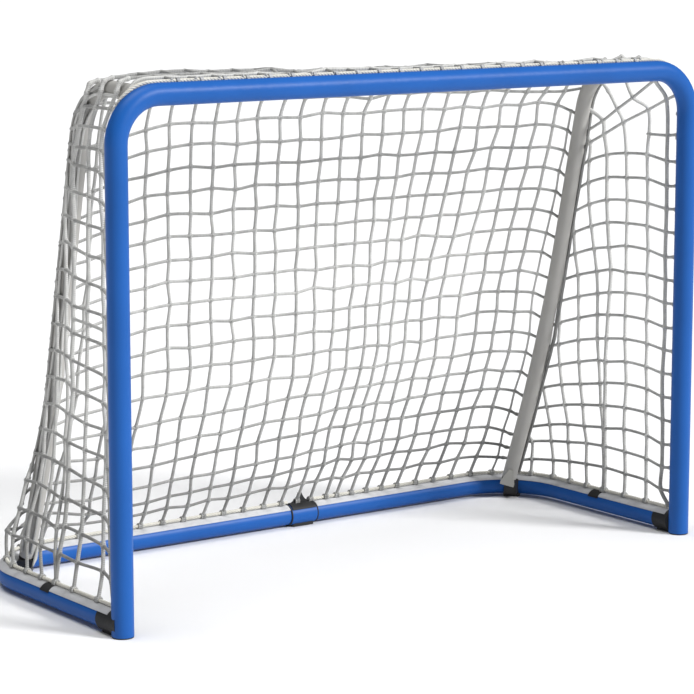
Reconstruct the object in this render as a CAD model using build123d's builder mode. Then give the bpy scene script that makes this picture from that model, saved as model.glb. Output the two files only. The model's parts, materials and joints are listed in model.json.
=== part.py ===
from build123d import *
import os
from math import asin, cos, degrees, radians, sin, sqrt

# Street hockey goal with a 1600 x 1150 mm mouth: a blue bent-tube front frame, a blue U of
# base tube on the floor, two bent grey stays that carry the net, and the net with its ropes.
# Millimetres. X runs along the goal line, Y from the mouth to the back, Z up.
# The origin is the centre of the footprint on the floor.

os.makedirs("parts", exist_ok=True)

# ---------------------------------------------------------------- driving dimensions
post_spacing = 1650.0        # between post axes
crossbar_height = 1175.0     # crossbar axis above the floor
depth = 650.0                # post axis to rear bar axis
tube_r = 25.0                # front frame and base tube
tube_wall = 2.0
frame_bend = 105.0           # top corners, on the tube axis
corner_bend = 180.0          # rear base corners, on the tube axis
base_height = 30.0           # base tube axis above the floor

stay_x = 740.0               # both stays stand in planes at this distance from the middle
stay_r = 19.0
stay_wall = 1.5
stay_bend = 140.0            # bend behind the crossbar
stay_sweep = 4500.0          # long curve towards the foot

coupling_x = 105.0           # middle of the rear bar's coupling
coupling_length = 76.0
coupling_r = 27.2

rope_r = 4.0
strip_half_angle = 52.0      # lacing strips, each side of the tube's crest
strip_thickness = 2.0
net_thickness = 3.0
hook_pitch = 60.0            # one hook for each row of the net
fit_gap = 0.15               # between a tube and what is clamped round it

# ---------------------------------------------------------------- places that follow from them
post_x = post_spacing / 2
ring_r = coupling_r + 0.8
post_y = tube_r - (depth + tube_r + ring_r) / 2      # centres the footprint on the origin
rear_y = post_y + depth
tube_bore = tube_r - tube_wall
bend_centre_x = post_x - corner_bend
bend_centre_y = rear_y - corner_bend
frame_bend_x = post_x - frame_bend


def frame_axis_height(x):
    """Height of the front frame's axis above a place on the crossbar or on its bends."""
    past = max(abs(x) - frame_bend_x, 0)
    return crossbar_height - frame_bend + sqrt(frame_bend**2 - past**2)


# side view of a stay, as (distance behind the goal line, height)
stay_start = (tube_r + 3.2, frame_axis_height(stay_x))
stay_top = (266.0, crossbar_height + 10)
stay_middle = (427.0, 452.0)
stay_foot = (570.0, 58.0)

fitting_back = 72.0          # behind the goal line
fitting_r = 28.0
socket_depth = 30.0
clip_start = 285.0           # seam clip on each side bar, behind the goal line
clip_length = 36.0
strip_start = 30.0           # the strips run over the foot fittings, close up to the posts
strip_inner = tube_r + 0.05
rope_height = base_height + 28.2 + rope_r
border_offset = tube_r + 1.5 + rope_r
crossbar_rope_angle = 60.0   # above the horizontal, at the back of the crossbar

made = []


def finish(part, label):
    """Label a finished piece and write it out."""
    part.label = label
    export_step(part, f"parts/{label}.step")
    made.append(part)


def behind(distance):
    """Y of a place given by its distance behind the goal line."""
    return post_y + distance


def back_plane(x, y, z):
    """Plane facing the back of the goal; its local Y points down."""
    return Plane(origin=(x, y, z), x_dir=(1, 0, 0), z_dir=(0, 1, 0))


def side_plane(x):
    """Plane in a side view: local X runs to the back, local Y up."""
    return Plane(origin=(x, 0, 0), x_dir=(0, 1, 0), z_dir=(1, 0, 0))


def start_plane(wire):
    return Plane(origin=wire @ 0, z_dir=wire % 0)


def bent_tube(points, bends, outer, bore=0):
    """Round tube, or rod, along straight runs joined by bends."""
    with BuildPart() as tube:
        with BuildLine() as route:
            FilletPolyline(*points, radius=bends)
        with BuildSketch(start_plane(route.wires()[0])):
            Circle(outer)
            if bore:
                Circle(bore, mode=Mode.SUBTRACT)
        sweep(path=route.wires()[0])
    return tube.part


def drill(part, starts, direction, radius, length):
    """The part with round holes that begin at each start."""
    with BuildPart() as drilled:
        add(part)
        for start in starts:
            with BuildSketch(Plane(origin=start, z_dir=direction)):
                Circle(radius)
            extrude(amount=length, mode=Mode.SUBTRACT)
    return drilled.part


def saddle_sketch(plane, inner, thickness, half_angle):
    """Annular sector over the crest of a tube, in a plane whose local Y points down."""
    with BuildSketch(plane) as sector:
        with BuildLine():
            outer = CenterArc((0, 0), inner + thickness, -90 - half_angle, 2 * half_angle)
            under = CenterArc((0, 0), inner, -90 - half_angle, 2 * half_angle)
            Line(outer @ 0, under @ 0)
            Line(outer @ 1, under @ 1)
        make_face()
    return sector.sketch


def screws(starts, direction, head_r, head_height, shank_r, length, recess=0):
    """Round-head screws; each start is under the head, and the shank runs along direction."""
    with BuildPart() as group:
        for start in starts:
            with BuildSketch(Plane(origin=start, z_dir=direction)):
                Circle(shank_r)
            extrude(amount=length)
            with BuildSketch(Plane(origin=start, z_dir=direction)) as head:
                Circle(head_r)
            extrude(head.sketch, amount=-head_height)
            if recess:
                with BuildSketch(Plane(origin=start, z_dir=direction).offset(-head_height)):
                    RegularPolygon(radius=recess, side_count=6)
                extrude(amount=head_height / 2, mode=Mode.SUBTRACT)
    return group.part


sides = ((-1, "left"), (1, "right"))

# ---------------------------------------------------------------- front frame
plug_flange = 3.0
bolt_r = 4.0
bolt_height = base_height
foot_bolt_starts = [(s * post_x, behind(fitting_back - socket_depth), bolt_height) for s, _ in sides]
saddle_half = 32.0           # saddle behind the crossbar, each side of its stay
saddle_screw_pitch = 25.5
stay_screw_starts = [
    (s * x, behind(tube_r + 3.0), frame_axis_height(x))
    for s, _ in sides
    for x in (stay_x - saddle_screw_pitch, stay_x + saddle_screw_pitch)
]

frame = bent_tube(
    [
        (-post_x, post_y, plug_flange),
        (-post_x, post_y, crossbar_height),
        (post_x, post_y, crossbar_height),
        (post_x, post_y, plug_flange),
    ],
    frame_bend,
    tube_r,
    tube_bore,
)
frame = drill(frame, foot_bolt_starts, (0, -1, 0), bolt_r + 0.1, socket_depth)
frame = drill(frame, stay_screw_starts, (0, -1, 0), 2.6, 12)
finish(frame, "front_frame")

for s, name in sides:
    with BuildPart() as plug:
        with BuildSketch():
            with Locations((s * post_x, post_y)):
                Circle(tube_r - 0.5)
        extrude(amount=plug_flange)
        chamfer(plug.faces().sort_by(Axis.Z)[0].edges(), 0.8)
        with BuildSketch(Plane.XY.offset(plug_flange)):
            with Locations((s * post_x, post_y)):
                Circle(tube_bore - fit_gap)
                Circle(tube_bore - 3, mode=Mode.SUBTRACT)
        extrude(amount=18)
    finish(plug.part, f"post_plug_{name}")

# ---------------------------------------------------------------- base tubes
tube_start = behind(fitting_back - socket_depth + 1)
sole_top = 10.0
sole_screw_y = behind(fitting_back - 20)
joint_screw_pitch = 24.0
corner_screw_angles = (40.5, 49.5)
corner_screw_r = corner_bend - 5


def on_bend(s, radius, angle, z):
    """Point at a radius about the bend centre of the left (-1) or right (1) rear corner."""
    x = s * (bend_centre_x + radius * cos(radians(angle)))
    return (x, bend_centre_y + radius * sin(radians(angle)), z)


for s, name in sides:
    tube = bent_tube(
        [
            (s * post_x, tube_start, base_height),
            (s * post_x, rear_y, base_height),
            (coupling_x + s * 0.5, rear_y, base_height),
        ],
        corner_bend,
        tube_r,
        tube_bore,
    )
    under_tube = [(s * post_x, sole_screw_y, 0), (coupling_x + s * joint_screw_pitch, rear_y, 0)]
    under_tube += [on_bend(s, corner_screw_r, a, 0) for a in corner_screw_angles]
    tube = drill(tube, under_tube, (0, 0, 1), 2.6, base_height - tube_bore + 6)
    finish(tube, f"base_tube_{name}")

# ---------------------------------------------------------------- foot fittings
inner_cheek = 18.0           # where the cheek on the mouth side stops, behind the goal line
outer_cheek = -6.0           # and the cheek on the outer side, just past the post's middle

for s, name in sides:
    x = s * post_x
    with BuildPart() as fitting:
        with BuildSketch(back_plane(x, behind(outer_cheek), base_height)):
            Circle(fitting_r)
        extrude(amount=fitting_back - outer_cheek)
        fillet(fitting.faces().sort_by(Axis.Y)[-1].edges(), 2.0)
        with BuildSketch(Plane.XY):
            with Locations((x, behind((fitting_back - 4 + tube_r) / 2))):
                RectangleRounded(26, fitting_back - 4 - tube_r, 4)
        extrude(amount=sole_top)
        # the post's cope, from below the sole to above the fitting
        with BuildSketch(Plane.XY.offset(-1)):
            with Locations((x, post_y)):
                Circle(tube_r + fit_gap)
        extrude(amount=80, mode=Mode.SUBTRACT)
        # the cheek beside the goal mouth is cut back, at a slant
        with BuildSketch(Plane.XY.offset(-1)):
            with BuildLine():
                Polyline(
                    (x + s * 5, behind(outer_cheek - 5)),
                    (x + s * 5, behind(inner_cheek - 12)),
                    (x - s * 40, behind(inner_cheek + 6)),
                    (x - s * 40, behind(outer_cheek - 5)),
                    close=True,
                )
            make_face()
        extrude(amount=80, mode=Mode.SUBTRACT)
        # open crest, where the lacing strip runs over the fitting up to the post
        crest_cut = saddle_sketch(
            back_plane(x, behind(strip_start - 1), base_height), strip_inner, 10, strip_half_angle + 1
        )
        extrude(crest_cut, amount=fitting_back, mode=Mode.SUBTRACT)
        # socket for the base tube, bolt hole and the screw from below
        with BuildSketch(back_plane(x, behind(fitting_back - socket_depth), base_height)):
            Circle(tube_r + fit_gap)
        extrude(amount=socket_depth + 1, mode=Mode.SUBTRACT)
        with BuildSketch(back_plane(x, behind(0), base_height)):
            Circle(bolt_r + 0.1)
        extrude(amount=fitting_back, mode=Mode.SUBTRACT)
        with BuildSketch(Plane(origin=(x, sole_screw_y, -1), z_dir=(0, 0, 1))):
            Circle(2.6)
        extrude(amount=base_height - tube_r + 2, mode=Mode.SUBTRACT)
        with BuildSketch(Plane(origin=(x, sole_screw_y, -1), z_dir=(0, 0, 1))):
            Circle(5.2)
        extrude(amount=3.2, mode=Mode.SUBTRACT)
    finish(fitting.part, f"foot_fitting_{name}")

finish(screws(foot_bolt_starts, (0, -1, 0), 7.5, 5.5, bolt_r, 27, recess=4.5), "foot_bolts")

with BuildPart() as nuts:
    for s, _ in sides:
        with BuildSketch(back_plane(s * post_x, behind(tube_bore - 8.2), bolt_height)):
            RegularPolygon(radius=7.4, side_count=6)
            Circle(bolt_r + 0.02, mode=Mode.SUBTRACT)
        extrude(amount=6.5)
finish(nuts.part, "foot_nuts")

sole_screw_starts = [(s * post_x, sole_screw_y, 2.2) for s, _ in sides]
finish(screws(sole_screw_starts, (0, 0, 1), 5.0, 2.0, 2.5, 8, recess=2.4), "foot_sole_screws")

# ---------------------------------------------------------------- rear bar coupling
coupling_end = coupling_length / 2

with BuildPart() as spigot:
    with BuildSketch(Plane.YZ.offset(coupling_x - 130)):
        with Locations((rear_y, base_height)):
            Circle(tube_bore - 0.3)
            Circle(tube_bore - 2.8, mode=Mode.SUBTRACT)
    extrude(amount=260)
spigot_holes = [(coupling_x + s * joint_screw_pitch, rear_y, 0) for s, _ in sides]
finish(drill(spigot.part, spigot_holes, (0, 0, 1), 2.6, 15), "coupling_spigot")

with BuildPart() as sleeve:
    with BuildSketch(Plane.YZ.offset(coupling_x - coupling_end)):
        with Locations((rear_y, base_height)):
            Circle(coupling_r)
            Circle(tube_r + fit_gap, mode=Mode.SUBTRACT)
    extrude(amount=coupling_length)
finish(drill(sleeve.part, spigot_holes, (0, 0, 1), 2.6, 8), "coupling_sleeve")

ring_width = 3.5
for s, name in sides:
    near = coupling_x + s * (coupling_end + 0.1)
    far = coupling_x + s * (coupling_end + 0.1 + ring_width)
    with BuildPart() as ring:
        with BuildSketch(Plane.YZ.offset(min(near, far))):
            with Locations((rear_y, base_height)):
                Circle(ring_r)
                Circle(tube_r + 0.1, mode=Mode.SUBTRACT)
        extrude(amount=ring_width)
        chamfer(ring.edges().filter_by(GeomType.CIRCLE).sort_by(SortBy.RADIUS)[-2:], 0.6)
    finish(ring.part, f"coupling_ring_{name}")

# black cover over the sleeve, drawn up at the back into a fin that parts the two hem ropes
saddle_thickness = 2.4
fin_height = 25.0
fin_width = 70.0
fin_tip = 5.0
crest = base_height + coupling_r + saddle_thickness
with BuildPart() as saddle:
    end_plane = Plane(
        origin=(coupling_x - coupling_end + 1.5, rear_y, base_height),
        x_dir=(0, -1, 0),
        z_dir=(1, 0, 0),
    )
    cover_section = saddle_sketch(end_plane, coupling_r + 0.1, saddle_thickness, 56)
    extrude(cover_section, amount=coupling_length - 3)
    with BuildSketch(Plane(origin=(coupling_x, rear_y - 2, 0), x_dir=(1, 0, 0), z_dir=(0, -1, 0))):
        with BuildLine():
            foot_line = Line((-fin_width / 2, crest - 1.2), (fin_width / 2, crest - 1.2))
            right_flare = ThreePointArc(
                foot_line @ 1,
                (fin_width / 4, crest + fin_height / 4),
                (fin_tip, crest + fin_height),
            )
            tip = Line(right_flare @ 1, (-fin_tip, crest + fin_height))
            ThreePointArc(tip @ 1, (-fin_width / 4, crest + fin_height / 4), foot_line @ 0)
        make_face()
    extrude(amount=-4)
finish(saddle.part, "coupling_saddle")

with BuildPart() as pad:
    with BuildSketch(Plane.XY):
        with Locations((coupling_x, rear_y)):
            RectangleRounded(coupling_length - 8, 34, 6)
    extrude(amount=9)
    with BuildSketch(Plane.YZ.offset(coupling_x - coupling_end)):
        with Locations((rear_y, base_height)):
            Circle(coupling_r + 0.05)
    extrude(amount=coupling_length, mode=Mode.SUBTRACT)
    for s, _ in sides:
        hole_x = coupling_x + s * joint_screw_pitch
        with BuildSketch(Plane(origin=(hole_x, rear_y, -1), z_dir=(0, 0, 1))):
            Circle(5.2)
        extrude(amount=3.2, mode=Mode.SUBTRACT)
        with BuildSketch(Plane(origin=(hole_x, rear_y, -1), z_dir=(0, 0, 1))):
            Circle(2.6)
        extrude(amount=10, mode=Mode.SUBTRACT)
finish(pad.part, "coupling_pad")

joint_screw_starts = [(x, y, 2.2) for x, y, _ in spigot_holes]
finish(screws(joint_screw_starts, (0, 0, 1), 5.0, 2.0, 2.5, 10.5, recess=2.4), "coupling_screws")

# ---------------------------------------------------------------- stays
stay_bore = stay_r - stay_wall


def stay_point(s, place):
    return (s * stay_x, behind(place[0]), place[1])


run = (stay_foot[0] - stay_middle[0], stay_foot[1] - stay_middle[1])
run_length = sqrt(run[0] ** 2 + run[1] ** 2)
foot_direction = (0, run[0] / run_length, run[1] / run_length)
up_the_stay = (0, -foot_direction[1], -foot_direction[2])
rise = (stay_top[1] - stay_start[1]) / (stay_top[0] - stay_start[0])

for s, name in sides:
    points = [stay_point(s, p) for p in (stay_start, stay_top, stay_middle, stay_foot)]
    finish(bent_tube(points, [stay_bend, stay_sweep], stay_r, stay_bore), f"stay_{name}")

# pressed saddle behind the crossbar, with a spigot inside the stay
for s, name in sides:
    reach = degrees(asin((stay_x + saddle_half - frame_bend_x) / frame_bend))
    with BuildPart() as flange:
        with BuildLine(Plane.XZ.offset(-post_y)) as route:
            Line((s * (stay_x - saddle_half), crossbar_height), (s * frame_bend_x, crossbar_height))
            CenterArc((s * frame_bend_x, crossbar_height - frame_bend), frame_bend, 90, -s * reach)
        section = Plane(
            origin=(s * (stay_x - saddle_half), post_y, crossbar_height),
            x_dir=(0, 0, s),
            z_dir=(s, 0, 0),
        )
        add(saddle_sketch(section, tube_r + fit_gap, 3.0 - fit_gap, 45))
        sweep(path=route.wires()[0])
        spigot_start = (tube_r + 1.5, stay_start[1] - 1.7 * rise)
        with BuildSketch(Plane(origin=stay_point(s, spigot_start), z_dir=(0, 1, rise))):
            Circle(stay_bore - 0.2)
        extrude(amount=30)
    stay_saddle = drill(flange.part, stay_screw_starts, (0, -1, 0), 2.6, 5)
    finish(stay_saddle, f"stay_saddle_{name}")

finish(screws(stay_screw_starts, (0, -1, 0), 4.6, 2.6, 2.5, 9, recess=2.4), "stay_screws")

# ---------------------------------------------------------------- rear corner brackets
bracket_half_turn = 7.2      # degrees of the bend on each side of its middle
bracket_r = 28.5
bend_mid = 45.0
foot_radius = sqrt((stay_x - bend_centre_x) ** 2 + (stay_foot[0] - depth + corner_bend) ** 2)
web_inner = foot_radius - stay_r


def bracket_plane(s):
    """Upright plane through the bend centre, across the tube at the start of the bracket."""
    angle = radians(bend_mid - bracket_half_turn)
    return Plane(
        origin=(s * bend_centre_x, bend_centre_y, 0),
        x_dir=(s * cos(angle), sin(angle), 0),
        z_dir=(s * sin(angle), -cos(angle), 0),
    )


def gusset_plane(s):
    """Plane that leans with the stay and touches it on the side of the goal's middle."""
    up = Vector(*up_the_stay)
    inward = Vector(-s * cos(radians(bend_mid)), -sin(radians(bend_mid)), 0)
    inward = (inward - up * inward.dot(up)).normalized()
    place = Vector(*stay_point(s, stay_foot)) + inward * (stay_r + 0.1)
    return Plane(origin=place, x_dir=up.cross(inward), z_dir=inward)


for s, name in sides:
    turn_axis = Axis((s * bend_centre_x, bend_centre_y, 0), (0, 0, s))
    plane = bracket_plane(s)
    down = -1 if (plane.y_dir.Z < 0) else 1
    with BuildPart() as bracket:
        with BuildSketch(plane):
            # clamp round the inner half of the tube, with a sole and a web for the stay
            with Locations((corner_bend, down * base_height)):
                Circle(bracket_r)
            with Locations((corner_bend - 11, down * 7.0)):
                Rectangle(22, 14)
            with Locations(((web_inner + 156) / 2, down * 32.0)):
                Rectangle(156 - web_inner, 36)
            with Locations((corner_bend, down * base_height)):
                Circle(tube_r + fit_gap, mode=Mode.SUBTRACT)
            # nothing of it reaches over the lacing strip or round the outer side
            with Locations((corner_bend + 42, down * 40)):
                Rectangle(80, 120, mode=Mode.SUBTRACT)
            with Locations((corner_bend - 6.5, down * 61)):
                Rectangle(33, 32, mode=Mode.SUBTRACT)
        revolve(axis=turn_axis, revolution_arc=2 * bracket_half_turn)
        with BuildSketch(Plane(origin=stay_point(s, stay_foot), z_dir=foot_direction)):
            Circle(stay_r)
        extrude(amount=8)
        with BuildSketch(Plane(origin=stay_point(s, stay_foot), z_dir=up_the_stay)):
            Circle(stay_bore - 0.2)
        extrude(amount=42)
        with BuildSketch(gusset_plane(s)):
            Rectangle(160, 160)
        extrude(amount=60, mode=Mode.SUBTRACT)
        for angle in corner_screw_angles:
            with BuildSketch(Plane(origin=on_bend(s, corner_screw_r, angle, -1), z_dir=(0, 0, 1))):
                Circle(2.6)
            extrude(amount=9, mode=Mode.SUBTRACT)
            with BuildSketch(Plane(origin=on_bend(s, corner_screw_r, angle, -1), z_dir=(0, 0, 1))):
                Circle(4.2)
            extrude(amount=3.2, mode=Mode.SUBTRACT)
    finish(bracket.part, f"corner_bracket_{name}")

corner_screw_starts = [
    on_bend(s, corner_screw_r, angle, 2.2) for s, _ in sides for angle in corner_screw_angles
]
finish(screws(corner_screw_starts, (0, 0, 1), 4.0, 2.0, 2.5, 8, recess=2.0), "corner_screws")

# light grey three-cornered plate on the inner face of each bracket, leaning with the stay
gusset_half = 19.0
gusset_thickness = 3.0
gusset_low = -16.0           # measured along the stay from its foot
gusset_shoulder = -7.0
gusset_top = 32.0
for s, name in sides:
    with BuildPart() as gusset:
        with BuildSketch(gusset_plane(s)):
            with BuildLine():
                Polyline(
                    (-gusset_half, gusset_low),
                    (gusset_half, gusset_low),
                    (gusset_half, gusset_shoulder),
                    (5, gusset_top),
                    (-5, gusset_top),
                    (-gusset_half, gusset_shoulder),
                    close=True,
                )
            make_face()
        extrude(amount=gusset_thickness)
    finish(gusset.part, f"corner_gusset_{name}")

# ---------------------------------------------------------------- lacing strips and seam clips
strip_gap = 1.0
clip_end = clip_start + clip_length


def saddle_along(points, bends, inner, thickness, half_angle):
    """Thin cover along the crest of a base tube; the first run goes to the back."""
    x, y, _ = points[0]
    with BuildPart() as cover:
        with BuildLine() as route:
            if bends:
                FilletPolyline(*points, radius=bends)
            else:
                Polyline(*points)
        add(saddle_sketch(back_plane(x, y, base_height), inner, thickness, half_angle))
        sweep(path=route.wires()[0])
    return cover.part


for s, name in sides:
    x = s * post_x
    front = (x, behind(strip_start), base_height)
    clip_front = (x, behind(clip_start - strip_gap), base_height)
    clip_back = (x, behind(clip_end + strip_gap), base_height)
    corner = (x, rear_y, base_height)
    ring_side = coupling_x + s * (coupling_end + ring_width + strip_gap)
    rear_end = (ring_side, rear_y, base_height)
    side_strip = saddle_along([front, clip_front], None, strip_inner, strip_thickness, strip_half_angle)
    finish(side_strip, f"side_strip_{name}")
    rear_strip = saddle_along(
        [clip_back, corner, rear_end], corner_bend, strip_inner, strip_thickness, strip_half_angle
    )
    finish(rear_strip, f"rear_strip_{name}")
    clip_ends = [(x, behind(clip_start), base_height), (x, behind(clip_end), base_height)]
    finish(saddle_along(clip_ends, None, strip_inner, 2.8, 62), f"seam_clip_{name}")

# ---------------------------------------------------------------- ropes of the net
# hem rope on the crest of the base tubes, in two lengths that end at the coupling
for s, name in sides:
    hem = bent_tube(
        [
            (s * post_x, behind(36), rope_height),
            (s * post_x, rear_y, rope_height),
            (coupling_x + s * (coupling_end + 2), rear_y, rope_height),
        ],
        corner_bend,
        rope_r,
    )
    finish(hem, f"hem_rope_{name}")

# border rope: up the back of one post, over the bend to the crest of the crossbar, and down
rope_up = radians(crossbar_rope_angle)
crossbar_rope_y = post_y + border_offset * cos(rope_up)
crossbar_rope_z = crossbar_height + border_offset * sin(rope_up)
corner_step = 30.0           # the rope turns each corner in three equal steps


def round_corner(s, turn, climb):
    """Corner of the rope's route: turn is measured from the crossbar, climb from the back."""
    out = frame_bend + border_offset * sin(radians(climb))
    out /= cos(radians(corner_step / 2))
    return (
        s * (frame_bend_x + out * sin(radians(turn))),
        post_y + border_offset * cos(radians(climb)),
        crossbar_height - frame_bend + out * cos(radians(turn)),
    )


rope_corner = [(75, 0), (45, crossbar_rope_angle / 2), (15, crossbar_rope_angle)]
left_corner = [round_corner(-1, turn, climb) for turn, climb in rope_corner]
right_corner = [round_corner(1, turn, climb) for turn, climb in reversed(rope_corner)]
rope_foot = rope_height + 10
border = bent_tube(
    [
        (-post_x, post_y + border_offset, rope_foot),
        *left_corner,
        *right_corner,
        (post_x, post_y + border_offset, rope_foot),
    ],
    frame_bend,
    rope_r,
)
finish(border, "border_rope")

# seam rope of each side panel, from its clip up towards the bend of the stay
seam_rope_r = 3.5
for s, name in sides:
    seam = bent_tube(
        [
            (s * post_x, behind(clip_start + 8), rope_height + rope_r + seam_rope_r + 0.3),
            (s * (post_x - 4), behind(clip_start - 8), 210),
            (s * (post_x - 26), behind(clip_start - 36), 1080),
        ],
        400,
        seam_rope_r,
    )
    finish(seam, f"seam_rope_{name}")

# ---------------------------------------------------------------- hooks that hold the border rope
hook_ring_r = 6.6
hook_width = 8.0
hook_low = 100.0
post_hook_count = 17
crossbar_hook_count = 23


def hook_profile(plane):
    """Open-backed ring round the rope on a foot that lies against the tube at local +X."""
    with BuildSketch(plane) as profile:
        with Locations((border_offset, 0)):
            Circle(hook_ring_r)
        with BuildLine():
            outer = CenterArc((0, 0), tube_r + 2.4, -17, 34)
            under = CenterArc((0, 0), tube_r + 0.05, -17, 34)
            Line(outer @ 0, under @ 0)
            Line(outer @ 1, under @ 1)
        make_face()
        Circle(tube_r + 0.05, mode=Mode.SUBTRACT)
        with Locations((border_offset, 0)):
            Circle(rope_r + 0.1, mode=Mode.SUBTRACT)
    return profile.sketch


for s, name in sides:
    with BuildPart() as hooks:
        for k in range(post_hook_count):
            z = hook_low + k * hook_pitch
            post_plane = Plane(origin=(s * post_x, post_y, z), x_dir=(0, 1, 0), z_dir=(0, 0, 1))
            extrude(hook_profile(post_plane), amount=hook_width)
    finish(hooks.part, f"post_hooks_{name}")

with BuildPart() as hooks:
    for k in range(crossbar_hook_count):
        x = (k - (crossbar_hook_count - 1) / 2) * hook_pitch
        across = Plane(
            origin=(x - hook_width / 2, post_y, crossbar_height),
            x_dir=(0, cos(rope_up), sin(rope_up)),
            z_dir=(1, 0, 0),
        )
        extrude(hook_profile(across), amount=hook_width)
finish(hooks.part, "crossbar_hooks")

# ---------------------------------------------------------------- net panels, as thin sheets
net_gap = stay_r + 6.0
side_net_x = 790.0
rear_half = side_net_x - 4.0
hem_level = rope_height + rope_r + 6
net_front = (crossbar_rope_y - post_y + rope_r + 4, crossbar_rope_z + 4)
net_crown = (stay_top[0] + net_gap, stay_top[1] + net_gap)
net_waist = (stay_middle[0] + net_gap + 2, stay_middle[1])
net_hem = (depth - 12.0, hem_level)
crown_bend = stay_bend + net_gap
crown_split = 120.0          # the top panel stops this far ahead of the crown


def side_view(points):
    return [(behind(p[0]), p[1]) for p in points]


slope = (net_crown[1] - net_front[1]) / (net_crown[0] - net_front[0])
split = (net_crown[0] - crown_split, net_crown[1] - crown_split * slope)

with BuildPart() as net_top:
    with BuildSketch(side_plane(-rear_half)):
        with BuildLine():
            front, back = side_view([net_front, split])
            Polyline(
                front,
                back,
                (back[0], back[1] + net_thickness),
                (front[0], front[1] + net_thickness),
                close=True,
            )
        make_face()
    extrude(amount=2 * rear_half)
finish(net_top.part, "net_top")

with BuildPart() as net_rear:
    with BuildSketch(side_plane(-rear_half)):
        with BuildLine():
            after = (split[0] + 2.0, split[1] + 2.0 * slope)
            under_face = FilletPolyline(
                *side_view([after, net_crown, net_waist, net_hem]), radius=[crown_bend * 0.6, 3000]
            )
            offset(under_face, net_thickness, side=Side.LEFT)
        make_face()
    extrude(amount=2 * rear_half)
finish(net_rear.part, "net_rear")

for s, name in sides:
    start = s * side_net_x - net_thickness / 2
    with BuildPart() as net_side:
        with BuildSketch(side_plane(start)):
            with BuildLine():
                back_edge = FilletPolyline(
                    *side_view([net_front, net_crown, net_waist, net_hem]),
                    radius=[crown_bend * 0.6, 3000],
                )
                front_foot = (behind(border_offset + rope_r + 4), hem_level)
                Polyline(back_edge @ 1, front_foot, (front_foot[0], net_front[1] - 30), back_edge @ 0)
            make_face()
        extrude(amount=net_thickness)
    finish(net_side.part, f"net_side_{name}")

print(len(made), "nodes")
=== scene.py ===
import json
import math

import bpy
import numpy as np
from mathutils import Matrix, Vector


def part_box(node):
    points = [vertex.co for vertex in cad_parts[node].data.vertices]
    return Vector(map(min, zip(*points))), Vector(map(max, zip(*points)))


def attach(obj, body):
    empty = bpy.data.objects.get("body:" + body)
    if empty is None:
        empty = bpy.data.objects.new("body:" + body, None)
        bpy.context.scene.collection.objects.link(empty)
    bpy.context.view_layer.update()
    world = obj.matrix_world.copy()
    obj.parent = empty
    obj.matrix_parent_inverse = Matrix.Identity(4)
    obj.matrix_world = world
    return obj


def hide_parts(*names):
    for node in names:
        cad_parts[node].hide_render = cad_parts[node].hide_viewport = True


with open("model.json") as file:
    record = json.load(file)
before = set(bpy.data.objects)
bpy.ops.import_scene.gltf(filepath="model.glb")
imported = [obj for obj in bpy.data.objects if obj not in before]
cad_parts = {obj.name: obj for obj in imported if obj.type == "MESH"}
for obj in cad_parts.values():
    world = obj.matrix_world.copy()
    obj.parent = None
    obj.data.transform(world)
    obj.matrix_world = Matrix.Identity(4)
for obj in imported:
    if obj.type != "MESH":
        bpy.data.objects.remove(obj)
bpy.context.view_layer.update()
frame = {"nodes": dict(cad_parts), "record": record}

# ------------------------------------------------------------------ places
# Points of the net are written as (x, back, z) in millimetres: across the goal, behind the
# goal line, and above the floor. place() turns them into the frame's metres.
lo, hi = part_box("front_frame")
GOAL_LINE = (lo.y + hi.y) / 2
POST_X = 825.0
BASE_DEPTH = 650.0
HEM_Z = 62.2
HEM_BEND = 180.0
STAY_X = 740.0
STAY_R = 19.0
ARC_BACK, ARC_Z, ARC_R = 154.6, 1039.2, 140.0      # the stay's bend behind the crossbar
rng = np.random.default_rng(41)


def place(points):
    p = np.asarray(points, float) / 1000
    p[:, 1] += GOAL_LINE
    return p


def stay_back(z):
    """How far behind the goal line the stay's axis is, below its bend."""
    return 266 + (1185 - z) * 0.2196 if z > 452 else 427 + (452 - z) * 0.3629


def ease(x, a, b):
    """Smooth step from 0 at a to 1 at b."""
    t = min(max((x - a) / (b - a), 0.0), 1.0)
    return t * t * (3 - 2 * t)


def hem_point(s, back):
    """Point of the hem rope on one side, by its distance behind the goal line."""
    start = BASE_DEPTH - HEM_BEND
    if back <= start:
        return (s * POST_X, back, HEM_Z)
    past = back - start
    return (s * (POST_X - HEM_BEND + math.sqrt(max(HEM_BEND**2 - past**2, 0))), back, HEM_Z)


def hem_back(x):
    """How far back the hem rope is at a place across the rear bar."""
    past = max(abs(x) - (POST_X - HEM_BEND), 0)
    return BASE_DEPTH - HEM_BEND + math.sqrt(max(HEM_BEND**2 - past**2, 0))


# ------------------------------------------------------------------ curves and tubes
KNOT_STEPS = (0, 0.07, 0.15, 0.28, 0.5, 0.72, 0.85, 0.93)


def smooth(points, steps=KNOT_STEPS):
    """Points along a smooth curve through the given ones, and how far each is from a knot."""
    p = np.asarray(points, float)
    ends = np.vstack([2 * p[0] - p[1], p, 2 * p[-1] - p[-2]])
    out, off = [], []
    for i in range(len(p) - 1):
        a, b, c, d = ends[i : i + 4]
        size = np.linalg.norm(c - b)
        ta = (c - a) * size / max(np.linalg.norm(c - b) + np.linalg.norm(b - a), 1e-6)
        tb = (d - b) * size / max(np.linalg.norm(d - c) + np.linalg.norm(c - b), 1e-6)
        for t in steps:
            h = (2 * t**3 - 3 * t**2 + 1, t**3 - 2 * t**2 + t, 3 * t**2 - 2 * t**3, t**3 - t**2)
            out.append(h[0] * b + h[1] * ta + h[2] * c + h[3] * tb)
            off.append(min(t, 1 - t) * size)
    out.append(p[-1])
    off.append(0.0)
    return np.array(out), np.array(off)


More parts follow.
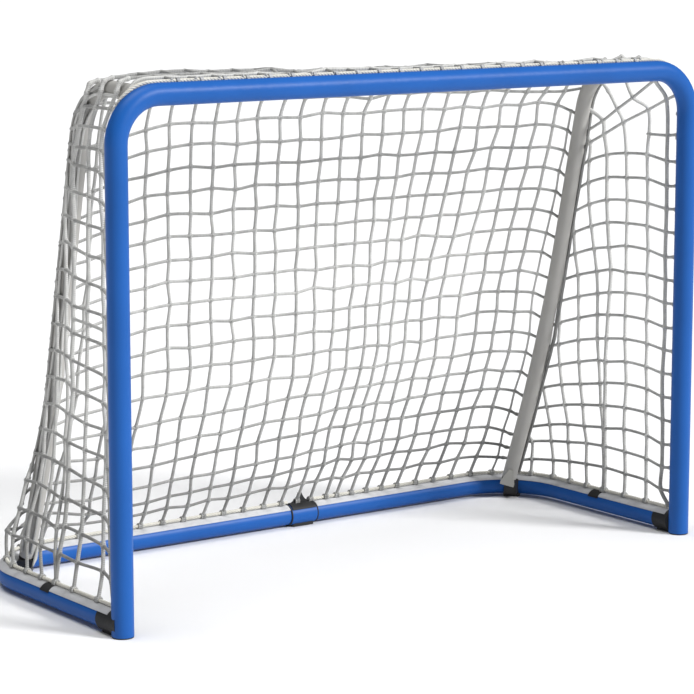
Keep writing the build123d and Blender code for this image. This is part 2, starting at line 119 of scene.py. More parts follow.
def frames(path):
    """Two unit vectors across a path at each point, carried along it without twist."""
    tangent = np.gradient(path, axis=0)
    tangent /= np.linalg.norm(tangent, axis=1)[:, None]
    first = np.array([0, 0, 1.0]) if abs(tangent[0][2]) < 0.9 else np.array([1.0, 0, 0])
    side = []
    for t in tangent:
        first = first - t * (first @ t)
        first /= np.linalg.norm(first)
        side.append(first)
    side = np.array(side)
    return side, np.cross(tangent, side)


class Cords:
    """Collects round cords and makes one mesh of them."""

    def __init__(self, around=8):
        self.around = around
        self.points, self.faces, self.along, self.shade = [], [], [], []
        self.count = 0

    def add(self, path, radius, shade=0.5):
        path = np.asarray(path, float)
        radius = np.broadcast_to(np.asarray(radius, float), len(path)).copy()
        a, b = frames(path)
        # a rounded end: the first and last rings close in
        lead = path[0] - path[1]
        tail = path[-1] - path[-2]
        lead /= np.linalg.norm(lead)
        tail /= np.linalg.norm(tail)
        path = np.vstack([path[0] + lead * radius[0] * 0.8, path, path[-1] + tail * radius[-1] * 0.8])
        radius = np.concatenate([[radius[0] * 0.45], radius, [radius[-1] * 0.45]])
        a = np.vstack([a[0], a, a[-1]])
        b = np.vstack([b[0], b, b[-1]])
        n, k = len(path), self.around
        turn = np.arange(k) * 2 * math.pi / k
        ring = a[:, None] * np.cos(turn)[None, :, None] + b[:, None] * np.sin(turn)[None, :, None]
        self.points.append((path[:, None] + ring * radius[:, None, None]).reshape(-1, 3))
        length = np.concatenate([[0], np.cumsum(np.linalg.norm(np.diff(path, axis=0), axis=1))])
        # painted shade: every cord's tone darkens towards the floor, by up to 0.55 below 500 mm
        low_shade = 0.55 * np.clip((500 - path[:, 2]) / 420, 0, 1)
        tone = np.repeat(shade - low_shade, k)
        self.along.append(np.stack([np.repeat(length, k), np.tile(np.arange(k) / k, n), tone], 1))
        i = np.arange(n - 1)[:, None] * k
        j = np.arange(k)[None]
        quads = np.stack([i + j, i + (j + 1) % k, i + k + (j + 1) % k, i + k + j], -1).reshape(-1, 4)
        base = self.count
        self.faces += (quads + base).tolist()
        self.faces.append([base + x for x in reversed(range(k))])
        self.faces.append([base + (n - 1) * k + x for x in range(k)])
        self.count += n * k

    def knotted(self, points, radius, shade=0.5, swell=0.4):
        """A net cord through its knots, a little thicker at each of them."""
        path, off = smooth(points)
        wide = radius * (1 + swell * np.exp(-((off / 5.5) ** 2)))
        self.add(path, wide, shade)

    def rope(self, path, radius, lay=26.0, strands=3, shade=0.5):
        """Laid rope: strands wound round the path."""
        path = even(path, lay / 8)
        a, b = frames(path)
        length = np.concatenate([[0], np.cumsum(np.linalg.norm(np.diff(path, axis=0), axis=1))])
        for k in range(strands):
            turn = 2 * math.pi * (length / lay + k / strands)
            off = a * np.cos(turn)[:, None] + b * np.sin(turn)[:, None]
            self.add(path + off * radius * 0.5, radius * 0.56, shade)

    def loop(self, centre, one, other, radius, shade=0.5, turns=1.0):
        """A turn of cord round something: one and other are its half axes."""
        angle = np.linspace(0, 2 * math.pi * turns, int(12 * turns) + 1)
        one, other = np.asarray(one, float), np.asarray(other, float)
        path = np.asarray(centre, float) + np.outer(np.cos(angle), one) + np.outer(np.sin(angle), other)
        self.add(path, radius, shade)

    def knot(self, centre, up, across, size, shade=0.5):
        """Turn of cord slantwise round a crossing of the net."""
        up = up / np.linalg.norm(up)
        across = across - up * (across @ up)
        across /= np.linalg.norm(across)
        out = np.cross(up, across)
        self.loop(centre, (up + across) * size * 0.78, out * size * 1.12, size * 0.5, shade)

    def make(self, name, material, slot, *stands_for):
        mesh = bpy.data.meshes.new(name)
        mesh.from_pydata(place(np.vstack(self.points)).tolist(), [], self.faces)
        along = mesh.attributes.new("along", "FLOAT_VECTOR", "POINT")
        along.data.foreach_set("vector", np.vstack(self.along).ravel().astype(np.float32))
        mesh.shade_smooth()
        mesh.materials.append(material)
        piece = bpy.data.objects.new(name, mesh)
        bpy.context.scene.collection.objects.link(piece)
        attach(piece, "root")
        if stands_for:
            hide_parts(*stands_for)
        return piece


def even(path, step):
    """The same path with points an even step apart."""
    path = np.asarray(path, float)
    length = np.concatenate([[0], np.cumsum(np.linalg.norm(np.diff(path, axis=0), axis=1))])
    at = np.linspace(0, length[-1], max(int(length[-1] / step), 2) + 1)
    return np.stack([np.interp(at, length, path[:, k]) for k in range(3)], 1)


# ------------------------------------------------------------------ materials
def nodes_of(name):
    m = bpy.data.materials.new(name)
    m.use_nodes = True
    t = m.node_tree
    return m, t, t.nodes["Principled BSDF"]


def ramp(t, source, stops):
    r = t.nodes.new("ShaderNodeValToRGB")
    r.color_ramp.elements[0].position = stops[0][0]
    r.color_ramp.elements[0].color = (*stops[0][1], 1)
    r.color_ramp.elements[1].position = stops[-1][0]
    r.color_ramp.elements[1].color = (*stops[-1][1], 1)
    for at, colour in stops[1:-1]:
        e = r.color_ramp.elements.new(at)
        e.color = (*colour, 1)
    t.links.new(source, r.inputs["Fac"])
    return r.outputs["Color"]


def noise(t, scale, detail=4.0, vector=None, roughness=0.5):
    n = t.nodes.new("ShaderNodeTexNoise")
    n.inputs["Scale"].default_value = scale
    n.inputs["Detail"].default_value = detail
    n.inputs["Roughness"].default_value = roughness
    if vector is None:
        c = t.nodes.new("ShaderNodeTexCoord")
        vector = c.outputs["Object"]
    t.links.new(vector, n.inputs["Vector"])
    return n.outputs["Fac"]


def spread(t, source, low, high):
    m = t.nodes.new("ShaderNodeMapRange")
    m.inputs["To Min"].default_value = low
    m.inputs["To Max"].default_value = high
    t.links.new(source, m.inputs["Value"])
    return m.outputs["Result"]


def maths(t, op, a, b=None, c=None):
    m = t.nodes.new("ShaderNodeMath")
    m.operation = op
    for k, x in enumerate((a, b, c)):
        if x is None:
            continue
        if isinstance(x, (int, float)):
            m.inputs[k].default_value = x
        else:
            t.links.new(x, m.inputs[k])
    return m.outputs[0]


def bump(t, shader, height, distance, strength=1.0, normal=None):
    b = t.nodes.new("ShaderNodeBump")
    b.inputs["Distance"].default_value = distance
    b.inputs["Strength"].default_value = strength
    t.links.new(height, b.inputs["Height"])
    if normal is not None:
        t.links.new(normal, b.inputs["Normal"])
    t.links.new(b.outputs["Normal"], shader.inputs["Normal"])
    return b.outputs["Normal"]


def shade(colour, k):
    return tuple(min(x * k, 1) for x in colour)


def coating(name, colour, rough=0.34, coat=0.25, peel=0.00012, scuff=0.5):
    """Powder-coated tube: slight orange peel, uneven gloss, dust and rubbed marks near the floor."""
    m, t, p = nodes_of(name)
    big = noise(t, 5.0, 3)
    fine = noise(t, 420.0, 2)
    base = ramp(t, big, [(0.3, shade(colour, 0.93)), (0.5, colour), (0.72, shade(colour, 1.06))])
    coord = t.nodes.new("ShaderNodeTexCoord")
    split = t.nodes.new("ShaderNodeSeparateXYZ")
    t.links.new(coord.outputs["Object"], split.inputs[0])
    low = maths(t, "SUBTRACT", 1.0, maths(t, "MULTIPLY", split.outputs["Z"], 9.0))
    marks = maths(t, "MULTIPLY", noise(t, 70.0, 8, roughness=0.7), maths(t, "MAXIMUM", low, 0.12))
    worn = maths(t, "MULTIPLY", maths(t, "GREATER_THAN", marks, 0.56), scuff)
    mix = t.nodes.new("ShaderNodeMix")
    mix.data_type = "RGBA"
    t.links.new(worn, mix.inputs["Factor"])
    t.links.new(base, mix.inputs["A"])
    mix.inputs["B"].default_value = (*shade(colour, 0.55), 1)
    t.links.new(mix.outputs["Result"], p.inputs["Base Color"])
    t.links.new(spread(t, noise(t, 26.0, 5), rough - 0.06, rough + 0.08), p.inputs["Roughness"])
    p.inputs["Coat Weight"].default_value = coat
    p.inputs["Coat Roughness"].default_value = 0.22
    p.inputs["Specular IOR Level"].default_value = 0.22
    bump(t, p, fine, peel)
    return m


def moulded(name, colour, rough=0.5, grain=900.0, depth=0.0001):
    """Moulded plastic or rubber with a fine grain and faint flow marks."""
    m, t, p = nodes_of(name)
    base = ramp(t, noise(t, 18.0, 5), [(0.3, shade(colour, 0.8)), (0.7, shade(colour, 1.3))])
    t.links.new(base, p.inputs["Base Color"])
    t.links.new(spread(t, noise(t, 60.0, 4), rough - 0.08, rough + 0.1), p.inputs["Roughness"])
    v = t.nodes.new("ShaderNodeTexVoronoi")
    v.inputs["Scale"].default_value = grain
    c = t.nodes.new("ShaderNodeTexCoord")
    t.links.new(c.outputs["Object"], v.inputs["Vector"])
    bump(t, p, v.outputs["Distance"], depth)
    return m


def vinyl(name, colour):
    """Extruded strip on the base tubes: satin, with long faint lines, dust and scuffs."""
    m, t, p = nodes_of(name)
    c = t.nodes.new("ShaderNodeTexCoord")
    dust = noise(t, 34.0, 7, roughness=0.65)
    base = ramp(t, dust, [(0.25, shade(colour, 0.80)), (0.5, colour), (0.8, shade(colour, 1.08))])
    t.links.new(base, p.inputs["Base Color"])
    t.links.new(spread(t, noise(t, 12.0, 4), 0.36, 0.55), p.inputs["Roughness"])
    lines = noise(t, 240.0, 2, c.outputs["Object"])
    bump(t, p, lines, 0.0001)
    return m


def steel(name, colour, rough=0.35):
    m, t, p = nodes_of(name)
    base = ramp(t, noise(t, 160.0, 5), [(0.3, shade(colour, 0.8)), (0.7, shade(colour, 1.15))])
    t.links.new(base, p.inputs["Base Color"])
    t.links.new(spread(t, noise(t, 300.0, 3), rough - 0.1, rough + 0.12), p.inputs["Roughness"])
    p.inputs["Metallic"].default_value = 1.0
    bump(t, p, noise(t, 800.0, 2), 0.00004)
    return m


def braid(name, light, dark, picks=0.0042, depth=0.0005):
    """Braided cord: two families of slanting yarns that cross; painted shade darkens the grooves between
    them, with noise grime over all.
    """
    m, t, p = nodes_of(name)
    along = t.nodes.new("ShaderNodeAttribute")
    along.attribute_name = "along"
    split = t.nodes.new("ShaderNodeSeparateXYZ")
    t.links.new(along.outputs["Vector"], split.inputs[0])
    run = maths(t, "MULTIPLY", split.outputs["X"], 2 * math.pi / (picks * 1000))
    turn = maths(t, "MULTIPLY", split.outputs["Y"], 2 * math.pi * 2)
    one = maths(t, "SINE", maths(t, "ADD", run, turn))
    two = maths(t, "SINE", maths(t, "SUBTRACT", run, turn))
    # the yarn pattern: it raises the crests in the bump, and in the colour it darkens the grooves between
    # yarns as painted shade
    weave_and_shade = maths(t, "MULTIPLY_ADD", maths(t, "MAXIMUM", one, two), 0.5, 0.5)
    grime = noise(t, 38.0, 5, roughness=0.6)
    tone = maths(t, "ADD", maths(t, "MULTIPLY", weave_and_shade, 0.45), maths(t, "MULTIPLY", grime, 0.55))
    # along's Z is each cord's tone, which carries the painted shade and painted light set on the cords
    tone = maths(t, "ADD", tone, maths(t, "MULTIPLY_ADD", split.outputs["Z"], 0.6, -0.3))
    middle = tuple((a + b) / 2 for a, b in zip(dark, light))
    base = ramp(t, tone, [(0.15, dark), (0.5, middle), (0.85, light)])
    t.links.new(base, p.inputs["Base Color"])
    t.links.new(spread(t, grime, 0.62, 0.85), p.inputs["Roughness"])
    p.inputs["Sheen Weight"].default_value = 0.15
    p.inputs["Sheen Roughness"].default_value = 0.5
    bump(t, p, weave_and_shade, depth)
    return m


BLUE = (0.0095, 0.096, 0.375)
blue = coating("frame_powder_blue", BLUE, rough=0.42, coat=0.0, scuff=0.35)
grey = coating("stay_powder_grey", (0.40, 0.392, 0.372), rough=0.5, coat=0.0, scuff=0.3)
gusset_paint = coating("gusset_grey_paint", (0.46, 0.455, 0.42), rough=0.5, coat=0.05, scuff=0.5)
black = moulded("fitting_black_nylon", (0.006, 0.0065, 0.0075), 0.6)
rubber = moulded("rubber_black", (0.012, 0.012, 0.013), 0.72, grain=500.0)
hook_nylon = moulded("hook_grey_nylon", (0.34, 0.345, 0.35), 0.5)
strip = vinyl("strip_grey_vinyl", (0.52, 0.525, 0.54))
zinc = steel("screw_zinc", (0.52, 0.52, 0.53))
mill = steel("spigot_mill_steel", (0.42, 0.42, 0.43), 0.45)
net_cord = braid("net_cord_braid", (0.66, 0.66, 0.64), (0.17, 0.17, 0.165))
rope_yarn = braid("rope_yarn", (0.84, 0.82, 0.74), (0.42, 0.41, 0.36), picks=0.0022, depth=0.0002)

looks = {
    "frame_blue": blue,
    "stay_grey": grey,
    "gusset_grey": gusset_paint,
    "fitting_black": black,
    "rubber_black": rubber,
    "hook_plastic": hook_nylon,
    "strip_grey": strip,
    "screw_steel": zinc,
    "steel_inner": mill,
    "net_cord": net_cord,
    "rope_cord": rope_yarn,
}
for row in frame["record"]["subparts"]:
    mesh = frame["nodes"][row["node"]].data
    mesh.materials.clear()
    mesh.materials.append(looks[row["material_slot"]])

# ------------------------------------------------------------------ rear and top net
HALF = 12                   # columns each side of the middle; the outermost lies on a stay
PITCH = 61.5
ROW = 54.5
CORD = 4.0                  # radius of a net cord
ROPE = 4.4                  # radius of the border and hem ropes
HITCH = 2.2                 # radius of the cord in a hitch
FIRST_ROW = 1083.0
REAR_ROWS = [FIRST_ROW - ROW * k for k in range(16)] + [208.0, 163.0, 116.0]
# the net goes over the crossbar, along the top and round the crown: (behind, height)
TOP_ROWS = [(15, 1205), (46, 1205), (85, 1204.5), (150, 1203.5), (210, 1194), (256, 1170), (293, 1129)]


def net_back(x, z):
    """How far behind the goal line the rear net hangs."""
    if z > 1074:
        reach = (ARC_R + 25) ** 2 - (z - ARC_Z) ** 2
        return ARC_BACK + math.sqrt(max(reach, 0))
    if z > 452:
        back = 454 - (z - 452) * 0.2220
    else:
        back = 454 + (452 - z) / (452 - HEM_Z) * (hem_back(x) - 454)
    belly = 9 * (1 - (x / STAY_X) ** 2) * ease(z, 1074, 900) * ease(z, 62, 260)
    return back + belly


def lean(x0, z):
    """How far a column has wandered sideways: its foot is pulled to the right, most at the left."""
    at = 125 * ease(x0, -738, -520) * (1 - ease(x0, -150, 470))
    down = min(max((FIRST_ROW - z) / (FIRST_ROW - 116), 0), 1)
    bow = -38 * math.exp(-(((z - 600) / 300) ** 2)) * ease(x0, 60, 400)
    kick = -13 * ease(z, 175, 80) * ease(abs(x0), 738, 600)
    # the columns beside the stays hang clear of them, and come back to them at the foot
    clear = 30 * ease(abs(x0), 690, 738) * (1 - ease(z, 200, 66) * 0.6)
    if x0 > 0:
        clear -= 38 * math.exp(-(((z - 600) / 300) ** 2)) * ease(x0, 700, 738)
    return at * down + bow + kick - math.copysign(clear, x0) * (1 if x0 < 0 else 0.35)


def dip(x, z):
    """How far a row hangs below its level, near the stays and towards the lower left."""
    near = 30 * math.exp(-(STAY_X - abs(x)) / 46)
    left = 30 * ease(x, -450, -700) * ease(z, 90, 260)
    low = 0.062 * max(190 - x, 0) * ease(z, 470, 330) * ease(z, 62, 170) * ease(x, -738, -480)
    return (near + left) * ease(z, 62, 200) + low


def rear_knot(c, z0):
    x0 = c * PITCH
    x = x0 + lean(x0, z0)
    z = z0 - dip(x, z0)
    return np.array([x, net_back(x, z), z])


def top_knot(c, row):
    back, z = row
    x = c * PITCH + lean(c * PITCH, 1170) * 0.4
    sag = 5.0 * (1 - (x / STAY_X) ** 2) * ease(back, 15, 120)
    slack = 12 * ease(x, 330, 600) * ease(x, 745, 690) * ease(back, 30, 100)
    lift = 8 * ease(x, 250, -550) * ease(back, 30, 100)
    return np.array([x, back, z - sag - slack + lift])


def wander(amount):
    return rng.normal(0, amount, 3) * (1, 0.5, 1)


cols = range(-HALF, HALF + 1)
grid = {}
for c in cols:
    knots = [top_knot(c, row) for row in TOP_ROWS] + [rear_knot(c, z) for z in REAR_ROWS]
    grid[c] = [k if i == 0 else k + wander(1.9) for i, k in enumerate(knots)]


def seam_at(s, z):
    """Seam of rear and side net, laced to the outer back of the stay, down to the hem's corner."""
    if z > 1069:
        up = math.asin(min((z - ARC_Z) / (ARC_R + 6), 1))
        return np.array([s * (STAY_X + 21), ARC_BACK + (ARC_R + 6) * math.cos(up), z])
    foot = ease(z, 400, 66)
    return np.array([s * (STAY_X + 21 + 8 * foot), stay_back(z) + 6 + 22 * foot, z])


net_rear = Cords()
net_top = Cords()
knots_rear = Cords(around=6)
split_row = 4                # rows up to here belong to the top panel
feet = []
for c in cols:
    knots = grid[c]
    if abs(c) < HALF:
        # the top panel's columns take a dark tone: painted shade that darkens the top panel
        net_top.knotted(knots[: split_row + 2], CORD * 0.9, 0.2)
    foot = np.array([knots[-1][0] - 3, hem_back(knots[-1][0] - 3), HEM_Z])
    feet.append(foot)
    first = split_row + 1 if abs(c) < HALF else split_row + 3
    size = CORD * (1.0 if abs(c) < HALF else 0.7)
    net_rear.knotted(knots[first:] + [foot], size, rng.uniform(0.5, 0.8))
for k in range(split_row + 1, len(TOP_ROWS) + len(REAR_ROWS)):
    z0 = TOP_ROWS[k][1] if k < len(TOP_ROWS) else REAR_ROWS[k - len(TOP_ROWS)]
    row = [grid[c][k] for c in cols]
    if k >= len(TOP_ROWS):
        tips = []
        for s in (-1, 1):
            z = z0 - 33 * ease(z0, 62, 200) - 12 * (s < 0)
            behind_stay = np.array([s * STAY_X, stay_back(z) + 24 + 20 * ease(z, 400, 66), z + 2])
            tips.append([seam_at(s, z - 2), behind_stay])
        row = tips[0] + row + tips[1][::-1]
    else:
        row = [seam_at(-1, z0 - 6)] + row[1:-1] + [seam_at(1, z0 - 6)]
    # the rows take a darker tone than the columns: painted shade on the rows
    net_rear.knotted(row, CORD * 0.92, rng.uniform(0.15, 0.4))
    for c in cols:
        if k >= len(TOP_ROWS) and abs(c) < HALF:
            i = c + HALF
            across = grid[c + 1][k] - grid[c - 1][k]
            up = grid[c][k - 1] - grid[c][min(k + 1, len(grid[c]) - 1)]
            knots_rear.knot(grid[c][k], up, across, CORD * 1.15, rng.uniform(0.2, 0.8))

# ------------------------------------------------------------------ side nets
# Each side net has a selvage cord by the post, two cords, a crease where it folds towards the
# stay, and short columns that end on the stay. The left net hangs closer in than the right one.
# behind the goal line, at the hem and at the top, for the two cords and the crease
CORD_BACK = {"left": [(102, 110), (209, 184), (289, 258)], "right": [(122, 110), (205, 180), (282, 252)]}


def cord_x(s, i, z):
    """How far from the middle cord i (the crease is the last) hangs at a height."""
    up = z - HEM_Z
    if s < 0:
        return (797, 785, 778)[i] + (28, 40, 47)[i] * math.exp(-up / (150 + 50 * (i > 0)))
    bulge = 14 * math.exp(-(((z - 640) / 130) ** 2)) if i == 2 else 0
    return POST_X - (0.031, 0.0375, 0.040)[i] * up + bulge


LEVELS = {"left": [121 + 63 * k for k in range(15)], "right": [115 + 60 * k for k in range(15)]}
# how far a row has climbed at the second cord, the crease and the stay
CLIMB = {"left": (4, 8, 12), "right": (2, -6, -47)}


def last_rows(s):
    """The top rows, which fan round the stay's bend: their knots and their height at the stay."""
    if s < 0:
        start = [(825, 33), (818, 57), (795, 110), (784, 182), (780, 240)]
        rows = []
        for k in range(3):
            drawn_in = 1 - 0.085 * k * k
            knots = [(STAY_X + (x - STAY_X) * drawn_in, b - 5 * k, 1051 + 44 * k) for x, b in start]
            rows.append(knots + [1052 + 33 * k])
        return rows
    lower = [(822 - 0.24 * b, b, 1130 - 0.53 * b) for b in (29, 55, 110, 180, 240)]
    upper = [(766 + 20 * (b < 30), b, 1184 - 0.6 * b) for b in (24, 58, 134, 190, 246)]
    return [lower + [957], upper + [1000]]


# distance of the short columns from the crease, measured along a row: at heights 62, 590, 850
SHORT = [(3 + 69 * i, 36 + 58 * i, 58 + 50 * i) for i in range(5)]


def short_at(spec, z):
    """How far along a row a short column hangs from the crease, at a height."""
    return float(np.interp(z, [62, 590, 850], spec))


def bay(s, crease, seam, z, q):
    """Point of the net between the crease and the stay's seam, at a share q of the way."""
    straight = crease * (1 - q) + seam * q
    back = crease[1] + (seam[1] - crease[1]) * q
    hem = np.array(hem_point(s, back))
    hem[2] = straight[2]
    w = ease(z, 470, 62) ** (2.2 if s < 0 else 1.2)      # the left net hangs closer in
    p = straight * (1 - w) + hem * w
    p[2] = straight[2] + 6 * math.sin(math.pi * q)
    return p


def side_rows(s, name):
    """Each row of a side net: its knots from the border rope to the crease, and its seam height."""
    second, fold, stay = CLIMB[name]
    rows = []
    for z in LEVELS[name]:
        low = ease(z, 300, 104)
        at = [cord_x(s, i, z) for i in range(3)]
        back = [foot + (top - foot) * (z - 62) / 900 for foot, top in CORD_BACK[name]]
        climb = [0, second, fold * (1 - low) + 8 * low]
        knots = [(825, 33, z - 11), (819 - 3 * z / 900, 58, z - 10)]
        knots += [(x, b, z + c) for x, b, c in zip(at, back, climb)]
        rows.append(knots + [z + stay * (1 - 0.6 * low)])
    rows += last_rows(s)
    return [[np.array([s * p[0], p[1], p[2]]) + wander(1.6) for p in r[:-1]] + [r[-1]] for r in rows]


# where the two cords and the crease go after their last row: over the stay, or to their end on it
OVER = {
    "left": [
        [(768, 88, 1178), (760, 87, 1198), (740, 85, 1205.5)],
        [(768, 153, 1177), (760, 152, 1197), (740, 150, 1204.5)],
        [(768, 213, 1168), (760, 212, 1188), (740, 210, 1195)],
    ],
    "right": [
        [(767, 168, 1160), (760, 156, 1192), (740, 150, 1204.5)],
        [(762, 222, 1114), (757, 248, 1140)],
        [(757, 284, 1062)],
    ],
}
side_feet = []


def side_net(s, name):
    # painted shade darkens the left side net and painted light brightens the right one
    side_light_tint = -0.2 if s < 0 else 0.12
    cords = Cords()
    ties = Cords(around=6)
    rows = side_rows(s, name)
    columns = {i: [r[i] for r in rows] for i in range(1, 5)}
    shorts = {i: [] for i in range(len(SHORT))}
    for r in rows:
        crease, z_seam = r[4], r[-1]
        seam = seam_at(s, z_seam)
        length = np.linalg.norm(seam - crease)
        inner = []
        for i, spec in enumerate(SHORT):
            d = short_at(spec, crease[2])
            if d < length - 6 and crease[2] < 1010:
                p = bay(s, crease, seam, crease[2], d / length) + wander(1.3)
                shorts[i].append(p)
                if d > 8:
                    inner.append((d, p))
        inner = [p for d, p in sorted(inner, key=lambda x: x[0])]
        path = r[:5] + inner + [seam]
        # the rows take a darker tone than the columns: painted shade on the rows
        cords.knotted(path, CORD * 0.95, rng.uniform(0.25, 0.5) + side_light_tint)
        for k in range(2, len(path) - 1):
            across = path[k + 1] - path[k - 1]
            ties.knot(path[k], np.array([0, 0.1, 1.0]), across, CORD * 1.15, rng.uniform(0.3, 0.9))
    for i, spec in enumerate(SHORT):
        path = shorts[i]
        foot = np.array(hem_point(s, 288 if i == 0 else 281 + spec[0] * 0.98))
        side_feet.append((s, foot))
        if path[-1][2] < 990:
            path = path + [seam_at(s, path[-1][2] + 34)]
        cords.knotted([foot] + path, CORD * 1.05, rng.uniform(0.6, 0.85) + side_light_tint)
    if name == "right":
        # one short row between the post and the first cord
        level = [(825, 33, 1012), (816, 58, 1009), (798, 110, 1010)]
        cords.knotted([np.array(p, float) for p in level], CORD * 0.95, 0.4)
    else:
        # one short row between the first cord and the crease
        level = [(-797, 111, 660), (-787, 187, 662), (-780, 262, 664)]
        cords.knotted([np.array(p, float) for p in level], CORD * 0.95, 0.5)
    for i in (2, 3, 4):
        foot = np.array(hem_point(s, CORD_BACK[name][i - 2][0]))
        side_feet.append((s, foot))
        over = [np.array([s * p[0], p[1], p[2]]) for p in OVER[name][i - 2]]
        thick = CORD * (1.15 if i < 4 else 1.3)
        cords.knotted([foot] + columns[i] + over, thick, rng.uniform(0.65, 0.85) + side_light_tint)
    return cords, ties, columns


sides = {}
for s, name in ((-1, "left"), (1, "right")):
    sides[name] = side_net(s, name)

# the long rows of the top panel, between the two stays
for r in (2, 3, 4):
    back, z = TOP_ROWS[r]
    row = [np.array([-STAY_X, back, z + 1])] + [grid[c][r] for c in cols[1:-1]]
    row += [np.array([STAY_X, back, z + 1])]
    # the top panel's long rows take a dark tone too: painted shade
    net_top.knotted(row, CORD * 0.9, 0.1)

# the selvage cord: up one side, along the crossbar and down the other
edge = Cords()
path = [np.array([-825, 38, HEM_Z + 3])] + sides["left"][2][1]
path += [np.array([-746, 47, 1199])] + [grid[c][1] for c in cols[1:-1]] + [np.array([744, 47, 1196])]
path += sides["right"][2][1][::-1] + [np.array([825, 38, HEM_Z + 3])]
edge.knotted(path, CORD * 1.25, 0.55, swell=0.25)

# seam cords that lie side by side along each stay, down to its foot; only the first one on the
# left starts by the crossbar. The angle goes from the outer side of the stay towards the front.
SEAM = 3.4                  # radius of the gathering cord
SEAM_CORDS = {-1: (20, 46, 72), 1: (-44, -18, 8, 32)}


def stay_axis():
    """Points of a stay's axis in its own plane: (behind the goal line, height)."""
    start = [(b, 1176 + (b - 30) * 0.028) for b in range(42, 150, 18)]
    bend = [
        (
            ARC_BACK + ARC_R * math.cos(math.radians(a)),
            ARC_Z + ARC_R * math.sin(math.radians(a)),
        )
        for a in range(84, 12, -9)
    ]
    down = [(stay_back(z), z) for z in np.arange(1060, 66, -24.0)]
    return np.array(start + bend + down)


axis_line = stay_axis()
heading = np.gradient(axis_line, axis=0)
heading /= np.linalg.norm(heading, axis=1)[:, None]
seams = Cords()
for s in (-1, 1):
    # the cord that gathers the ends of the rows of both nets
    outer, _ = smooth([seam_at(s, z) for z in np.linspace(1184, 68, 46)], (0, 0.25, 0.5, 0.75))
    seams.add(outer, SEAM, 0.35)
    for k, angle in enumerate(SEAM_CORDS[s]):
        turn = np.radians(angle + 7 * np.sin(np.arange(len(axis_line)) / 2.3 + k * 1.9))
        reach = STAY_R + 3.0 + rng.uniform(0, 1.0, len(axis_line)) + 1.2 * (k % 2)
        # across the stay: outwards, and towards the front, square to its run
        front = np.stack([heading[:, 1], -heading[:, 0]], 1)
        path = np.stack(
            [
                s * (STAY_X + reach * np.cos(turn)),
                axis_line[:, 0] + reach * np.sin(turn) * front[:, 0],
                axis_line[:, 1] + reach * np.sin(turn) * front[:, 1],
            ],
            1,
        )
        path = path[9 if s > 0 or k else 3 :]
        body, _ = smooth(path, (0, 0.25, 0.5, 0.75))
        # the strands alternate light and dark tones: painted highlights and painted shade along the stay
        seams.add(body, 3.3 + 0.5 * (k % 2), (0.85, -0.1, 0.6, 0.0)[k % 4])

# laid ropes: the border rope on the back of the front frame, the hem ropes on the base tubes
ropes = Cords(around=7)


def border_side(s):
    """The border rope from the foot of a post to the crossbar."""
    post = [(s * POST_X, 30.5, z) for z in np.linspace(72, 1060, 12)]
    for turn in range(88, 0, -8):
        climb = math.radians(60 * (1 - ease(turn, 12, 78)))
        out = 105 + 30.5 * math.sin(climb)
        bend = math.radians(turn)
        post.append((s * (720 + out * math.sin(bend)), 30.5 * math.cos(climb), 1070 + out * math.cos(bend)))
    return post


bar = [(x, 15.25, 1201.4) for x in np.linspace(-690, 690, 24)]
border = border_side(-1) + bar + border_side(1)[::-1]
ropes.rope(smooth(border, (0, 0.5))[0], ROPE, shade=0.4)
for s in (-1, 1):
    hem = [(s * POST_X, b, HEM_Z) for b in range(40, 470, 60)]
    for a in range(0, 91, 9):
        turn = math.radians(a)
        hem.append((s * (645 + HEM_BEND * math.cos(turn)), 470 + HEM_BEND * math.sin(turn), HEM_Z))
    hem += [(x, BASE_DEPTH, HEM_Z) for x in np.linspace(s * 620, 105 + s * 40, 10)]
    ropes.rope(smooth(hem, (0, 0.5))[0], ROPE, shade=0.75)
hitches = Cords(around=6)
for foot in feet:
    for off in (-4.5, 0, 4.5):
        hitches.loop(foot + (off, 0, 0), (0, 7.0, 0), (1.5, 0, 6.6), HITCH, rng.uniform(0.4, 0.9))
for s, foot in side_feet:
    past = foot[1] - (BASE_DEPTH - HEM_BEND)
    along = np.array([0, 1.0, 0])
    if past >= 0:
        along = np.array([-past, abs(foot[0]) - (POST_X - HEM_BEND), 0]) * (s, 1, 1)
    along /= np.linalg.norm(along)
    across = np.array([along[1], -along[0], 0])
    for off in (-4.5, 0, 4.5):
        hitches.loop(foot + along * off, across * 7.0, (0, 0, 6.6), HITCH, rng.uniform(0.5, 1.0))

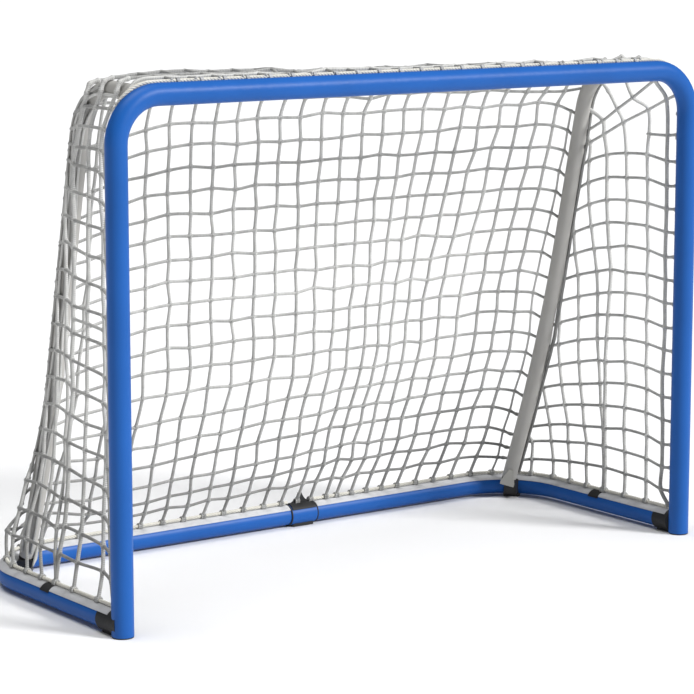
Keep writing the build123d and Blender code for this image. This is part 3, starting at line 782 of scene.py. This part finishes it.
ropes.make("ropes_laid", rope_yarn, "rope_cord", "border_rope", "hem_rope_left", "hem_rope_right")
hitches.make("hem_hitches", net_cord, "net_cord")
seams.make("seam_cords", net_cord, "net_cord", "seam_rope_left", "seam_rope_right")
knots_rear.make("net_rear_knots", net_cord, "net_cord")
edge.make("net_selvage", net_cord, "net_cord")
net_top.make("net_top_mesh", net_cord, "net_cord", "net_top")
net_rear.make("net_rear_mesh", net_cord, "net_cord", "net_rear")
for name in sides:
    sides[name][0].make(f"net_side_{name}_mesh", net_cord, "net_cord", f"net_side_{name}")
    sides[name][1].make(f"net_side_{name}_knots", net_cord, "net_cord")

# ------------------------------------------------------------------ view, light and floor
floor_mesh = bpy.data.meshes.new("floor")
FLOOR = 90.0                # half its width, in metres
floor_corners = [(-FLOOR, -FLOOR, 0), (FLOOR, -FLOOR, 0), (FLOOR, FLOOR, 0), (-FLOOR, FLOOR, 0)]
floor_mesh.from_pydata(floor_corners, [], [(0, 1, 2, 3)])
floor = bpy.data.objects.new("floor", floor_mesh)
bpy.context.scene.collection.objects.link(floor)
m, t, p = nodes_of("floor_pale")
floor_tone = ramp(t, noise(t, 0.8, 3), [(0.2, (0.84, 0.84, 0.845)), (0.8, (0.87, 0.87, 0.875))])
t.links.new(floor_tone, p.inputs["Base Color"])
p.inputs["Roughness"].default_value = 0.9
p.inputs["Specular IOR Level"].default_value = 0.1
floor_mesh.materials.append(m)

camera = bpy.data.objects.new("camera", bpy.data.cameras.new("camera"))
bpy.context.scene.collection.objects.link(camera)
camera.location = (-3.709, -5.085, 1.551)
camera.rotation_euler = (math.radians(80.67), 0, math.radians(-36.25))
camera.data.sensor_width = 36
camera.data.lens = 136.26
camera.data.clip_end = 400
bpy.context.scene.camera = camera

world = bpy.data.worlds.new("studio")
bpy.context.scene.world = world
world.use_nodes = True
world.node_tree.nodes["Background"].inputs["Color"].default_value = (0.96, 0.975, 1.0, 1)
world.node_tree.nodes["Background"].inputs["Strength"].default_value = 0.16


def sun(name, towards, strength, angle):
    """Soft light from a direction, given as the way from the goal to the light."""
    light = bpy.data.lights.new(name, "SUN")
    light.energy = strength
    light.angle = math.radians(angle)
    o = bpy.data.objects.new(name, light)
    bpy.context.scene.collection.objects.link(o)
    d = np.array(towards, float)
    d /= np.linalg.norm(d)
    o.rotation_euler = (math.acos(d[2]), 0, math.atan2(d[1], d[0]) + math.pi / 2)
    return o


sun("key", (0.52, -0.85, 0.62), 3.5, 16)
sun("top", (-0.10, 0.1, 1.0), 1.9, 40)
bpy.context.scene.view_settings.view_transform = "Standard"
